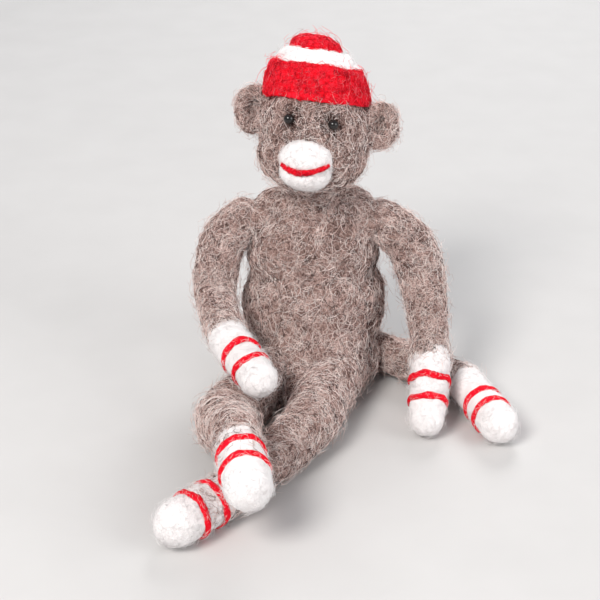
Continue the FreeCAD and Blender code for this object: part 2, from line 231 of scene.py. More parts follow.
def felt_material(name, shades, bump, sheen):
    """Felted wool: mottled shades, streaks of fibre both ways, and a matted surface."""
    material, shader = principled(name, shades[0], 0.95, sheen)
    shader.inputs["Specular IOR Level"].default_value = 0.1
    tree = material.node_tree
    patterns = (
        (0.28, noise_node(tree, 0.22, 3.0, 0.4)),
        (0.42, noise_node(tree, 2.8, 3.0, 1.8, (1.0, 1.0, 0.35))),
        (0.30, noise_node(tree, 3.0, 3.0, 1.8, (0.35, 0.8, 1.0))),
    )
    mixed = None
    for share, pattern in patterns:
        added = tree.nodes.new("ShaderNodeMath")
        added.operation = "MULTIPLY_ADD"
        added.inputs[1].default_value = share
        added.inputs[2].default_value = 0.0
        tree.links.new(pattern.outputs["Fac"], added.inputs[0])
        if mixed:
            tree.links.new(mixed, added.inputs[2])
        mixed = added.outputs[0]
    low, high = 0.36, 0.64
    stops = [(low + (high - low) * i / (len(shades) - 1), shade) for i, shade in enumerate(shades)]
    ramp = ramp_node(tree, mixed, stops)
    tree.links.new(ramp.outputs["Color"], shader.inputs["Base Color"])
    relief = tree.nodes.new("ShaderNodeBump")
    relief.inputs["Strength"].default_value = bump
    relief.inputs["Distance"].default_value = 0.35 * MM
    tree.links.new(mixed, relief.inputs["Height"])
    tree.links.new(relief.outputs["Normal"], shader.inputs["Normal"])
    return material


def tinted(material, shader, pattern, low, high):
    """Gives a material two close shades that follow a noise pattern."""
    ramp = ramp_node(material.node_tree, pattern.outputs["Fac"], (low, high))
    material.node_tree.links.new(ramp.outputs["Color"], shader.inputs["Base Color"])
    return material


def metal_material():
    material, shader = principled("armature_steel", (0.50, 0.49, 0.47), 0.35, metallic=1.0)
    streaks = noise_node(material.node_tree, 2.0, 2.0, 0.0, (1, 1, 0.1))
    return tinted(material, shader, streaks, (0.3, (0.42, 0.41, 0.39)), (0.7, (0.58, 0.57, 0.55)))


def bead_material():
    material, shader = principled("bead_black", (0.008, 0.007, 0.007), 0.08, coat=0.4)
    shader.inputs["Coat Roughness"].default_value = 0.03
    shader.inputs["Specular IOR Level"].default_value = 0.3
    wear = noise_node(material.node_tree, 1.2, 2.0)
    return tinted(material, shader, wear, (0.3, (0.006, 0.005, 0.005)), (0.8, (0.016, 0.013, 0.012)))


def make_materials():
    made = {name: felt_material(name + "_felt", *finish) for name, finish in FELTS.items()}
    made["steel"] = metal_material()
    made["bead"] = bead_material()
    for shade, colour in FIBRE_COLOURS.items():
        made["fibre_" + shade], shader = principled("fibre_" + shade, colour, 0.8)
        shader.inputs["Specular IOR Level"].default_value = 0.15
    return made


MATERIALS = make_materials()


# ---------------------------------------------------------------- felt bodies

def mesh_object(name, vertices, faces, smooth=True):
    mesh = bpy.data.meshes.new(name)
    mesh.from_pydata([tuple(v) for v in vertices], [], faces)
    mesh.update()
    made = bpy.data.objects.new(name, mesh)
    bpy.context.scene.collection.objects.link(made)
    if smooth:
        mesh.polygons.foreach_set("use_smooth", [True] * len(mesh.polygons))
    return made


def smooth_path(points, step):
    """Points along a curve through the given points, rounded at each one, about a step apart."""
    ends = [points[0] * 2 - points[1]] + list(points) + [points[-1] * 2 - points[-2]]
    path = []
    for i in range(1, len(ends) - 2):
        p0, p1, p2, p3 = ends[i - 1], ends[i], ends[i + 1], ends[i + 2]
        count = max(2, int((p2 - p1).length / step))
        a = (p2 - p0) * 0.5 * (2 * (p2 - p1).length / ((p2 - p1).length + (p1 - p0).length))
        b = (p3 - p1) * 0.5 * (2 * (p2 - p1).length / ((p2 - p1).length + (p3 - p2).length))
        for k in range(count):
            t = k / count
            t2, t3 = t * t, t * t * t
            path.append(p1 * (2 * t3 - 3 * t2 + 1) + a * (t3 - 2 * t2 + t)
                        + p2 * (3 * t2 - 2 * t3) + b * (t3 - t2))
    path.append(points[-1].copy())
    return path


def tube_rings(path, radius_at, around):
    """Rings of points along a path, with round ends. radius_at takes the distance along the path."""
    spans = [0.0]
    for a, b in zip(path, path[1:]):
        spans.append(spans[-1] + (b - a).length)
    total = spans[-1]
    tangents = []
    for i in range(len(path)):
        a, b = path[max(i - 1, 0)], path[min(i + 1, len(path) - 1)]
        tangents.append((b - a).normalized())
    side = tangents[0].orthogonal().normalized()
    stations = []
    first, last = radius_at(0.0), radius_at(total)
    cap_steps = 9
    for k in range(1, cap_steps):
        a = math.pi / 2 * k / cap_steps
        stations.append((path[0] - tangents[0] * first * math.cos(a), tangents[0], first * math.sin(a)))
    for i, at in enumerate(path):
        stations.append((at, tangents[i], radius_at(spans[i])))
    for k in range(cap_steps - 1, 0, -1):
        a = math.pi / 2 * k / cap_steps
        stations.append((path[-1] + tangents[-1] * last * math.cos(a), tangents[-1], last * math.sin(a)))
    rings = []
    for at, tangent, radius in stations:
        side = (side - tangent * side.dot(tangent)).normalized()
        other = tangent.cross(side)
        ring = []
        for k in range(around):
            a = 2 * math.pi * k / around
            ring.append(at + (side * math.cos(a) + other * math.sin(a)) * radius)
        rings.append(ring)
    poles = (path[0] - tangents[0] * first, path[-1] + tangents[-1] * last)
    return rings, poles


def tube(name, path, radius_at, around=64):
    """A closed roll of felt along a path."""
    rings, poles = tube_rings(path, radius_at, around)
    vertices = [p for ring in rings for p in ring] + list(poles)
    faces = []
    for i in range(len(rings) - 1):
        for k in range(around):
            n = (k + 1) % around
            faces.append((i * around + k, i * around + n, (i + 1) * around + n, (i + 1) * around + k))
    start, end, last = len(vertices) - 2, len(vertices) - 1, (len(rings) - 1) * around
    for k in range(around):
        n = (k + 1) % around
        faces.append((start, n, k))
        faces.append((end, last + k, last + n))
    return mesh_object(name, vertices, faces)


def ball(radius, at, stretch=(1, 1, 1), turn=None):
    """A ball as bmesh-ready vertices and faces, stretched and turned."""
    shape = bmesh.new()
    bmesh.ops.create_icosphere(shape, subdivisions=4, radius=radius)
    shape.transform(Matrix.Diagonal((*stretch, 1)))
    if turn:
        shape.transform(turn.to_4x4())
    shape.transform(Matrix.Translation(at))
    return shape


def merged(name, shapes, voxel, smoothing):
    """One closed body from several overlapping ones, with its creases softened."""
    mesh = bpy.data.meshes.new(name)
    whole = bmesh.new()
    for shape in shapes:
        part = bpy.data.meshes.new("part")
        shape.to_mesh(part)
        shape.free()
        whole.from_mesh(part)
        bpy.data.meshes.remove(part)
    whole.to_mesh(mesh)
    whole.free()
    made = bpy.data.objects.new(name, mesh)
    bpy.context.scene.collection.objects.link(made)
    remesh = made.modifiers.new("remesh", "REMESH")
    remesh.mode = "VOXEL"
    remesh.voxel_size = voxel
    remesh.use_smooth_shade = True
    soften = made.modifiers.new("soften", "SMOOTH")
    soften.factor = 0.5
    soften.iterations = smoothing
    apply_modifiers(made)
    return made


def apply_modifiers(made):
    bpy.context.view_layer.update()
    graph = bpy.context.evaluated_depsgraph_get()
    final = bpy.data.meshes.new_from_object(made.evaluated_get(graph))
    made.modifiers.clear()
    made.data = final
    final.polygons.foreach_set("use_smooth", [True] * len(final.polygons))


def felt_lumps(made, seed, large=0.35, small=0.13, floor=None):
    """Pushes the surface in and out as hand felting does, and flattens it where it rests on the table.

    large and small are about how far the wide and the fine lumps stand out, in mm."""
    mesh = made.data
    shift = Vector((seed * 7.31, seed * 3.17, seed * 5.77))
    moved = []
    for vertex in mesh.vertices:
        p = vertex.co / MM
        push = noise.noise(p * 0.16 + shift) * large * 1.6
        push += noise.noise(p * 0.42 + shift * 2) * large
        push += noise.noise(p * 1.25 + shift * 3) * small
        at = vertex.co + vertex.normal * push * MM
        if floor is not None and at.z < floor:
            at.z = floor + (at.z - floor) * 0.05
        moved.append(at)
    mesh.vertices.foreach_set("co", [c for at in moved for c in at])
    mesh.update()


def finish_felt(made, material, nodes=()):
    made.data.materials.clear()
    made.data.materials.append(material)
    if nodes:
        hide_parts(*nodes)
    return made


# ---------------------------------------------------------------- fibres

def surface_samples(made, count, rng):
    """Random points on a surface, spread evenly by area."""
    mesh = made.data
    mesh.calc_loop_triangles()
    corners = np.empty(len(mesh.loop_triangles) * 3, np.int64)
    mesh.loop_triangles.foreach_get("vertices", corners)
    corners = corners.reshape(-1, 3)
    points = np.empty(len(mesh.vertices) * 3)
    mesh.vertices.foreach_get("co", points)
    points = points.reshape(-1, 3)
    a, b, c = points[corners[:, 0]], points[corners[:, 1]], points[corners[:, 2]]
    area = np.linalg.norm(np.cross(b - a, c - a), axis=1)
    pick = rng.choice(len(corners), count, p=area / area.sum())
    u, v = rng.random(count), rng.random(count)
    flip = u + v > 1
    u[flip], v[flip] = 1 - u[flip], 1 - v[flip]
    return a[pick] + (b[pick] - a[pick]) * u[:, None] + (c[pick] - a[pick]) * v[:, None]


def nearest(tree, points):
    found = [tree.find_nearest(p) for p in points]
    at = np.array([f[0] for f in found])
    normal = np.array([f[1] for f in found])
    return at, normal


def unit(v):
    return v / np.maximum(np.linalg.norm(v, axis=-1, keepdims=True), 1e-12)


def strand_paths(made, starts, rng, length, lift, curl, stray, points):
    """Paths of curly fibres that crawl over a surface, and the surface's normal at each of their points."""
    tree = BVHTree.FromObject(made, bpy.context.evaluated_depsgraph_get())
    count = len(starts)
    at, normal = nearest(tree, starts)
    heading = unit(np.cross(normal, rng.normal(size=(count, 3))))
    lengths = length * np.exp(rng.normal(0, LENGTH_SPREAD, count)) * MM
    step = (lengths / (points - 1))[:, None]
    turn = rng.normal(0, 1, count) * curl
    phase = rng.random(count) * 2 * math.pi
    height = lift * rng.random(count) ** 1.5 * MM
    free = stray * rng.random(count) ** 2 * MM
    path = np.empty((count, points, 3))
    normals = np.empty((count, points, 3))
    for k in range(points):
        s = k / (points - 1)
        off = height * math.sin(math.pi * s) + free * s * s - ROOT_DEPTH * (1 - math.sin(math.pi * s))
        wave = WAVE * np.sin(phase + k * WAVE_STEP)
        side = np.cross(normal, heading)
        path[:, k] = at + normal * off[:, None] + side * wave[:, None]
        normals[:, k] = normal
        at, normal = nearest(tree, at + heading * step)
        angle = (turn * step[:, 0] / MM + rng.normal(0, WANDER, count))[:, None]
        heading = unit(heading - normal * (heading * normal).sum(1, keepdims=True))
        side = np.cross(normal, heading)
        heading = heading * np.cos(angle) + side * np.sin(angle)
    return path, normals


def strand_mesh(name, path, normals, width, shades, rng):
    """Three-sided closed tubes along the paths, one material per shade."""
    count, points = path.shape[:2]
    tangent = unit(np.gradient(path, axis=1))
    across = unit(np.cross(tangent, normals))
    upward = np.cross(across, tangent)
    thick = width / 2 * MM * (0.7 + 0.6 * rng.random(count))[:, None] * np.ones(points)
    thick[:, 0] *= 0.5
    thick[:, -1] *= 0.4
    rings = np.empty((count, points, 3, 3))
    for k, degrees in enumerate((90, 210, 330)):
        a = math.radians(degrees)
        rings[:, :, k] = path + (across * math.cos(a) + upward * math.sin(a)) * thick[:, :, None]
    vertices = rings.reshape(-1, 3)
    per = points * 3
    quads = []
    for i in range(points - 1):
        for k in range(3):
            n = (k + 1) % 3
            quads.append((i * 3 + k, i * 3 + n, i * 3 + 3 + n, i * 3 + 3 + k))
    quads = np.array(quads)
    caps = np.array([(2, 1, 0), (per - 3, per - 2, per - 1)])
    base = (np.arange(count) * per)[:, None, None]
    loops = np.concatenate([(quads[None] + base).reshape(count, -1),
                            (caps[None] + base).reshape(count, -1)], axis=1)
    faces_each = len(quads) + 2
    sizes = np.array([4] * len(quads) + [3, 3])
    starts = np.concatenate([[0], np.cumsum(sizes)[:-1]])
    loops_each = sizes.sum()
    mesh = bpy.data.meshes.new(name)
    mesh.vertices.add(len(vertices))
    mesh.vertices.foreach_set("co", vertices.ravel().astype(np.float32))
    mesh.loops.add(loops.size)
    mesh.loops.foreach_set("vertex_index", loops.ravel().astype(np.int32))
    mesh.polygons.add(count * faces_each)
    all_starts = (starts[None] + (np.arange(count) * loops_each)[:, None]).ravel()
    mesh.polygons.foreach_set("loop_start", all_starts.astype(np.int32))
    shares = np.array([share for _, share in shades])
    shade = rng.choice(len(shades), count, p=shares / shares.sum())
    mesh.polygons.foreach_set("material_index", np.repeat(shade, faces_each).astype(np.int32))
    mesh.polygons.foreach_set("use_smooth", np.ones(count * faces_each, bool))
    mesh.update(calc_edges=True)
    mesh.validate()
    for shade_name, _ in shades:
        mesh.materials.append(MATERIALS["fibre_" + shade_name])
    made = bpy.data.objects.new(name, mesh)
    bpy.context.scene.collection.objects.link(made)
    return made


def grow(made, kind, slot, count, rng, follow, length=5.2, lift=0.45, curl=0.95, stray=0.0, width=0.125,
         points=7, shades=GREY_FIBRES, keep=None):
    """Fibres over one felt body, in pieces of a few thousand, each handed to follow."""
    starts = surface_samples(made, count, rng)
    if keep is not None:
        starts = starts[keep(starts)]
    path, normals = strand_paths(made, starts, rng, length, lift, curl, stray, points)
    path[:, :, 2] = np.maximum(path[:, :, 2], LOWEST)
    for i in range(0, len(path), FIBRES_PER_PIECE):
        part = slice(i, i + FIBRES_PER_PIECE)
        name = f"{made.name}_{kind}_{i // FIBRES_PER_PIECE + 1}"
        strands = strand_mesh(name, path[part], normals[part], width, shades, rng)
        follow(strands)


# ---------------------------------------------------------------- the doll's measures, from the frame

def pivots():
    """Each joint's pivot, by name."""
    return {j["name"]: Vector(j["pos_m"]) for j in frame["record"]["behaviour"]["joints"]}


def wire_end(node, pivot):
    """Where the wire inside a tip ends, which is the middle of the tip's round end."""
    mesh = frame["nodes"][node].data
    points = np.array([v.co for v in mesh.vertices])
    away = np.linalg.norm(points - np.array(pivot), axis=1)
    return Vector(points[away > away.max() - 0.4 * MM].mean(axis=0))


PIVOT = pivots()
NECK = PIVOT["neck_turn"]
ARM_JOINTS, LEG_JOINTS = ("shoulder_swing", "elbow", "wrist"), ("hip_lift", "knee", "ankle")
ARM = {side: [PIVOT[f"{side}_{joint}"] for joint in ARM_JOINTS] for side, _ in SIDES}
LEG = {side: [PIVOT[f"{side}_{joint}"] for joint in LEG_JOINTS] for side, _ in SIDES}
TAIL = [PIVOT["tail_swing"], PIVOT["tail_middle_bend"], PIVOT["tail_tip_bend"]]
HAND_TIP = {side: wire_end(side + "_hand_wire", ARM[side][2]) for side, _ in SIDES}
FOOT_TIP = {side: wire_end(side + "_foot_wire", LEG[side][2]) for side, _ in SIDES}
TAIL_TIP = wire_end("tail_tip_wire", TAIL[2])
HEAD_TURN = (Matrix.Rotation(math.radians(HEAD_YAW), 3, "Z")
             @ Matrix.Rotation(math.radians(HEAD_PITCH), 3, "X")
             @ Matrix.Rotation(math.radians(HEAD_ROLL), 3, "Y"))
HEAD = NECK + HEAD_FROM_NECK


def in_head(x, y, z):
    """A point of the head's own frame, in millimetres, as a point of the doll's."""
    return HEAD + HEAD_TURN @ (Vector((x, y, z)) * MM)


def ride_on(body):
    return lambda piece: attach(piece, body)


def bend_across():
    """Bakes a piece's placement into its mesh; it is not tied to any joint."""
    return lambda piece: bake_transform(piece)


def profile(stops):
    """Radius along a limb, in metres, smooth between stops of (share of the length, radius in mm)."""
    def at(share):
        for (s0, r0), (s1, r1) in zip(stops, stops[1:]):
            if share <= s1:
                t = (share - s0) / (s1 - s0)
                t = t * t * (3 - 2 * t)
                return (r0 + (r1 - r0) * t) * MM
        return stops[-1][1] * MM
    return at


def path_length(path):
    return sum((b - a).length for a, b in zip(path, path[1:]))


# ---------------------------------------------------------------- pieces

def placed(table, place, turn=None):
    """Balls from a table of (middle, half sizes) in mm, each put in the doll's frame by place."""
    return [ball(1, place(*middle), Vector(half) * MM, turn) for middle, half in table]


def in_doll(x, y, z):
    return Vector((x, y, z)) * MM


def make_limb(name, points, radii, nodes, follow, seed, fibres, floor=None):
    """A roll of grey felt through its bends, with its fibres."""
    path = smooth_path(points, 0.7 * MM)
    total, radius = path_length(path), profile(radii)
    limb = tube(name, path, lambda s: radius(s / total))
    felt_lumps(limb, seed, 0.32, 0.14, floor)
    finish_felt(limb, MATERIALS["grey"], nodes)
    rng = np.random.default_rng(seed)
    grow(limb, "fibres", "grey_wool", fibres, rng, follow)
    grow(limb, "long", "grey_wool", fibres // 14, rng, follow, **LONG)
    grow(limb, "strays", "grey_wool", fibres // 5, rng, follow, **STRAYS, shades=BACKLIT_STRAY_FIBRES)
    follow(limb)


def bowed(points, bow):
    """A limb's route from its root, bend and end, with the felt standing off the wire by bow."""
    root, bend, end = points
    route = [at + Vector(by) * MM for at, by in zip((root, (root + bend) / 2, bend), bow)]
    return route + [end]


def stripe(name, centre, axis, radius, seed):
    """A ring of red wool round a tip, flat against it and a little uneven."""
    axis = axis.normalized()
    side = axis.orthogonal().normalized()
    other = axis.cross(side)
    around, across = 72, 12
    vertices = []
    for i in range(around):
        a = 2 * math.pi * i / around
        outward = side * math.cos(a) + other * math.sin(a)
        drift = noise.noise(Vector((math.cos(a) * 1.3, math.sin(a) * 1.3, seed * 2.1))) * 0.9 * MM
        uneven = noise.noise(Vector((math.cos(a) * 2.2, math.sin(a) * 2.2, seed * 4.7)))
        broad = STRIPE_WIDE * (1 + 0.35 * uneven)
        for k in range(across):
            b = 2 * math.pi * k / across
            lumps = 1 + 0.22 * noise.noise(Vector((i * 0.5, k * 0.8, seed)))
            vertices.append(centre + axis * (drift + broad / 2 * math.cos(b) * lumps)
                            + outward * (radius + STRIPE_THICK * math.sin(b) * lumps))
    faces = []
    for i in range(around):
        j = (i + 1) % around
        for k in range(across):
            n = (k + 1) % across
            faces.append((i * across + k, j * across + k, j * across + n, i * across + n))
    return mesh_object(name, vertices, faces)


def make_tip(name, body, pivot, end, radii, stripes, seed, floor=None, cuff=0.0, veil_and_shade=0):
    """A white hand, foot or tail tip with its red stripes, which rides on one body.

    stripes are distances in mm back from the middle of the round end. cuff is how far the limb's grey wool
    runs on past the bend before the white starts, in mm. The veil count is how many grey fibres lie between
    the
    stripes: grey wool showing through, and painted shade."""
    axis = (end - pivot).normalized()
    start = pivot + axis * (cuff - 1.0) * MM
    length = (end - start).length
    radius = profile(radii)
    path = [start + axis * length * i / 34 for i in range(35)]
    tip = tube(name, path, lambda s: radius(s / length))
    felt_lumps(tip, seed, 0.2, 0.04, floor)
    finish_felt(tip, MATERIALS["white"], (body + "_felt",))
    follow = ride_on(body)
    rng = np.random.default_rng(seed)
    grow(tip, "fibres", "white_wool", 1300, rng, follow, length=3.6, lift=0.15, width=0.06, **WHITE)
    grow(tip, "strays", "white_wool", 1000, rng, follow, length=3.6, lift=0.6, stray=1.6, width=0.06, **WHITE)

    def between(points):
        """Keeps to the white between the two stripes, and a little past the second one."""
        back = (np.array(end) - points) @ np.array(axis) / MM
        return (back > stripes[0]) & (back < stripes[1] + 2.0)

    # Grey fibres between the stripes: grey wool showing through, and painted shade.
    if veil_and_shade:
        grow(tip, "veil_and_shade", "grey_wool", veil_and_shade, rng, follow, length=3.6, width=0.09, shades=VEIL_AND_SHADE_FIBRES,
             keep=between)
    follow(tip)
    if cuff:
        reach, wide = axis * (cuff + 1.5) * MM, radii[0][1] * 1.04 * MM
        make_cuff(name + "_cuff", pivot, reach, wide, seed + 5, floor, rng, follow)
    for number, back in enumerate(stripes, 1):
        at = end - axis * back * MM
        here = radius(1 - back * MM / length)
        ring = stripe(f"{name}_stripe_{number}", at, axis, here + 0.10 * MM, seed + number)
        finish_felt(ring, MATERIALS["red"], (body + "_stripes",) if number == 1 else ())
        grow(ring, "fibres", "red_wool", 420, rng, follow, length=2.6, lift=0.4, stray=0.5, width=0.09,
             **RED)
        grow(ring, "wisps", "white_wool", 110, rng, follow, length=3.0, lift=0.5, stray=0.6, width=0.07,
             **WHITE)
        follow(ring)


def make_cuff(name, pivot, reach, radius, seed, floor, rng, follow):
    """The grey wool that runs on over the start of a white tip."""
    path = [pivot + reach * i / 12 for i in range(13)]
    sleeve = tube(name, path, lambda s: radius)
    felt_lumps(sleeve, seed, 0.2, 0.12, floor)
    finish_felt(sleeve, MATERIALS["grey"])
    grow(sleeve, "fibres", "grey_wool", 900, rng, follow)
    grow(sleeve, "strays", "grey_wool", 160, rng, follow, **STRAYS, shades=BACKLIT_STRAY_FIBRES)
    follow(sleeve)


def make_torso():
    shapes = placed(TORSO_BALLS, in_doll)
    shapes.append(ball(1, NECK + in_doll(0, 0, -1.2), Vector((9.4, 8.6, 5.6)) * MM))
    for side, sign in SIDES:
        shoulder, hip = ARM[side][0], LEG[side][0]
        shapes.append(ball(1, in_doll(sign * 10.0, 0.3, 50.3), Vector((6.5, 6.2, 4.6)) * MM))
        shapes.append(ball(1, shoulder - in_doll(sign * 5.0, 0, 2.6), Vector((5.6, 6.0, 5.2)) * MM))
        shapes.append(ball(1, hip + in_doll(sign * 1.0, 3.5, -1.4), Vector((8.4, 9.0, 7.4)) * MM))
    torso = merged("torso", shapes, 0.75 * MM, 14)
    felt_lumps(torso, SEEDS["torso"], 0.5, 0.16, TORSO_FLOOR)
    finish_felt(torso, MATERIALS["grey"], ("torso_felt",))
    follow = ride_on("torso")
    rng = np.random.default_rng(SEEDS["torso"])
    above = lambda points: points[:, 2] > 1.5 * MM
    grow(torso, "fibres", "grey_wool", 14500, rng, follow, lift=0.5, keep=above)
    grow(torso, "long", "grey_wool", 1000, rng, follow, **LONG, keep=above)
    grow(torso, "strays", "grey_wool", 1800, rng, follow, **STRAYS, shades=BACKLIT_STRAY_FIBRES, keep=above)
    follow(torso)


def make_neck():
    neck = merged("neck_wool", [ball(1, NECK, Vector((6.4, 6.2, 5.6)) * MM)], 0.6 * MM, 3)
    felt_lumps(neck, SEEDS["neck"], 0.2, 0.1)
    finish_felt(neck, MATERIALS["grey"], ("neck_felt",))
    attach(neck, "neck")


def make_head():
    shapes = [ball(1, HEAD, HEAD_HALF, HEAD_TURN)] + placed(HEAD_BALLS, in_head, HEAD_TURN)
    head = merged("head", shapes, 0.7 * MM, 10)
    sockets = [in_head(sign * SOCKET[0], *SOCKET[1:]) for sign in (-1, 1)]
    for vertex in head.data.vertices:
        for socket in sockets:
            near = (vertex.co - socket).length / (2.5 * MM)
            vertex.co += (HEAD - socket).normalized() * 1.3 * MM * math.exp(-near * near)
    felt_lumps(head, SEEDS["head"], 0.42, 0.15)
    finish_felt(head, MATERIALS["grey"], ("head_felt",))
    follow = ride_on("head")
    rng = np.random.default_rng(SEEDS["head"])

    def clear(points):
        """Leaves the beads, the muzzle and the crown of the head bare."""
        keep = np.ones(len(points), bool)
        for socket in sockets:
            keep &= np.linalg.norm(points - np.array(socket), axis=1) > 2.0 * MM
        keep &= np.linalg.norm(points - np.array(in_head(0, -15, -8)), axis=1) > 5.0 * MM
        local = (points - np.array(HEAD)) @ np.array(HEAD_TURN)
        return keep & (local[:, 2] < 10.5 * MM)

    def round_bead_shade(points):
        """The dark wool that rings each bead, which also paints the shade of its socket."""
        away = np.min([np.linalg.norm(points - np.array(socket), axis=1) for socket in sockets], axis=0)
        return (away > 1.2 * MM) & (away < 3.1 * MM)

    # Painted shade: the head's fibres are a darker mix than the body's.
    grow(head, "fibres", "grey_wool", 7600, rng, follow, shades=SHADED_HEAD_FIBRES, keep=clear)
    grow(head, "long", "grey_wool", 300, rng, follow, **LONG, keep=clear)
    grow(head, "strays", "grey_wool", 1500, rng, follow, **STRAYS, shades=BACKLIT_STRAY_FIBRES, keep=clear)
    # Dark fibres round each bead, partly dark wool and partly painted shade in the sockets.
    grow(head, "bead_rings_and_shade", "grey_wool", 45000, rng, follow, length=2.6, lift=0.5, points=6,
         shades=BEAD_RING_AND_SHADE_FIBRES, keep=round_bead_shade)
    follow(head)


def make_ears():
    follow = ride_on("head")
    for side, sign in SIDES:
        shapes = []
        centre = Vector((sign * EAR[0], *EAR[1:]))
        around = 40
        for i in range(around):
            a = 2 * math.pi * i / around
            out = Vector((math.cos(a) * EAR_RIM[0], 0, math.sin(a) * EAR_RIM[1]))
            at = centre + out + Vector((0, -0.9 + 0.5 * math.cos(a * 2), 0))
            shapes.append(ball(1, in_head(*at), Vector((1.7, 1.8, 1.7)) * MM, HEAD_TURN))
        back = centre + Vector((-sign * 0.6, 1.7, 0))
        shapes.append(ball(1, in_head(*back), Vector((4.4, 1.3, 5.3)) * MM, HEAD_TURN))
        ear = merged(side + "_ear_felt", shapes, 0.45 * MM, 6)
        seed = SEEDS["ear"] + sign
        felt_lumps(ear, seed, 0.22, 0.12)
        finish_felt(ear, MATERIALS["grey"], (side + "_ear",))
        rng = np.random.default_rng(seed)
        grow(ear, "fibres", "grey_wool", 1500, rng, follow, length=3.6, lift=0.35)
        grow(ear, "strays", "grey_wool", 420, rng, follow, **STRAYS, shades=BACKLIT_STRAY_FIBRES)
        follow(ear)


def make_muzzle():
    """The white pad, with the red mouth laid in a groove across it."""
    pad = merged("muzzle_pad", placed(MUZZLE_BALLS, in_head, HEAD_TURN), 0.45 * MM, 4)
    centre = in_head(0, -11.0, -8)
    skin = BVHTree.FromObject(pad, bpy.context.evaluated_depsgraph_get())
    inward = HEAD_TURN @ Vector((0, 1, 0))

    def on_mouth(x, proud):
        """A point of the mouth's line, proud of the pad's front. Both are in mm, in the head's own frame."""
        z = -9.9 + 0.05 * x * x + 0.11 * x
        at, normal, _, _ = skin.ray_cast(in_head(x, -30, z), inward)
        return at + normal * proud * MM

    line = [on_mouth(x * 0.25, 0) for x in range(-25, 26)]
    for vertex in pad.data.vertices:
        near = min((vertex.co - p).length for p in line) / (1.3 * MM)
        vertex.co += (centre - vertex.co).normalized() * 0.5 * MM * math.exp(-near * near)
    felt_lumps(pad, SEEDS["muzzle"], 0.18, 0.05)
    finish_felt(pad, MATERIALS["white"], ("muzzle",))
    follow = ride_on("head")
    rng = np.random.default_rng(SEEDS["muzzle"])
    grow(pad, "fibres", "white_wool", 1100, rng, follow, length=3.2, lift=0.25, width=0.07, **WHITE)
    grow(pad, "strays", "white_wool", 500, rng, follow, length=3.4, lift=0.6, stray=1.0, width=0.06, **WHITE)
    follow(pad)
    path = [on_mouth(x * 0.3, -0.2) for x in range(-21, 22)]
    total = path_length(path)
    thick = lambda s: (0.40 + 0.30 * math.sin(math.pi * s / total) ** 0.5) * MM
    mouth = tube("mouth_line", path, thick, 20)
    felt_lumps(mouth, SEEDS["mouth"], 0.1, 0.12)
    finish_felt(mouth, MATERIALS["red"], ("mouth",))
    grow(mouth, "fibres", "red_wool", 260, rng, follow, length=2.2, lift=0.3, stray=0.3, width=0.10, **RED)
    follow(mouth)


def make_eyes():
    for side, sign in SIDES:
        shape = ball(BEAD_R * MM, in_head(sign * BEAD[0], *BEAD[1:]))
        mesh = bpy.data.meshes.new(side + "_bead")
        shape.to_mesh(mesh)
        shape.free()
        mesh.polygons.foreach_set("use_smooth", [True] * len(mesh.polygons))
        bead = bpy.data.objects.new(side + "_bead", mesh)
        bpy.context.scene.collection.objects.link(bead)
        mesh.materials.append(MATERIALS["bead"])
        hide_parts(side + "_eye")
        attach(bead, "head")


def cap_lean(height):
    """How far the cap's middle is to the side at a height, in mm: it slumps towards the doll's right."""
    return -0.7 - 0.14 * (height - 9.3)


def lathed(name, outline, seed, large, small):
    """A closed ring or dome of felt turned about the head's own axis, from (radius, height) pairs in mm."""
    around = 110
    rows = []
    for (r0, z0), (r1, z1) in zip(outline, outline[1:]):
        count = max(2, int(math.hypot(r1 - r0, z1 - z0) / 0.7))
        rows += [(r0 + (r1 - r0) * k / count, z0 + (z1 - z0) * k / count) for k in range(count)]
    rows.append(outline[-1])
    vertices = []
    for radius, height in rows:
        for k in range(around):
            a = 2 * math.pi * k / around
            x, y = cap_lean(height) + radius * math.cos(a), radius * math.sin(a) * 0.97
            vertices.append(in_head(x, y, height))
    faces = []
    for i in range(len(rows) - 1):
        for k in range(around):
            n = (k + 1) % around
            faces.append((i * around + k, i * around + n, (i + 1) * around + n, (i + 1) * around + k))
    vertices += [in_head(cap_lean(height), 0, height) for height in (rows[0][1], rows[-1][1])]
    low, high, last = len(vertices) - 2, len(vertices) - 1, (len(rows) - 1) * around
    for k in range(around):
        n = (k + 1) % around
        faces.append((low, n, k))
        faces.append((high, last + k, last + n))
    made = mesh_object(name, vertices, faces)
    made.data.validate()
    felt_lumps(made, seed, large, small)
    return made


def bulge(low, high, bottom, top, proud):
    """The side of a band, as (radius, height) from its bottom to its top, with a rounded face."""
    found = []
    for k in range(13):
        t = k / 12
        swell = proud * math.sin(math.pi * t) ** 0.6
        found.append((bottom + (top - bottom) * t + swell, low + (high - low) * t))
    return found


def make_cap():
    follow = ride_on("head")
    rng = np.random.default_rng(SEEDS["cap"])
    crown = bulge(*CAP_CROWN) + list(CAP_DOME)
    parts = (
        ("cap_brim", "cap_brim_band", "red", bulge(*CAP_BRIM), 8000, 420, CAP_FIBRES),
        ("cap_band", "cap_white_band", "white", bulge(*CAP_BAND), 900, 90, WHITE_FIBRES),
        ("cap_top", "cap_crown", "red", crown, 1800, 110, CAP_FIBRES),
    )
    for number, (name, node, felt, outline, fibres, strays, shades) in enumerate(parts):
        slot = felt + "_wool"
        band = lathed(name, outline, SEEDS["cap_band"] + number, 0.26, 0.08)
        finish_felt(band, MATERIALS[felt], (node,))
        edge = (outline[0][1] + 0.3) * MM
        rim = lambda points: ((points - np.array(HEAD)) @ np.array(HEAD_TURN))[:, 2] > edge
        grow(band, "fibres", slot, fibres, rng, follow, length=2.8, lift=0.4, curl=1.6, width=0.1,
             shades=shades, keep=rim)
        grow(band, "strays", slot, strays, rng, follow, **STRAYS, shades=shades, keep=rim)
        follow(band)


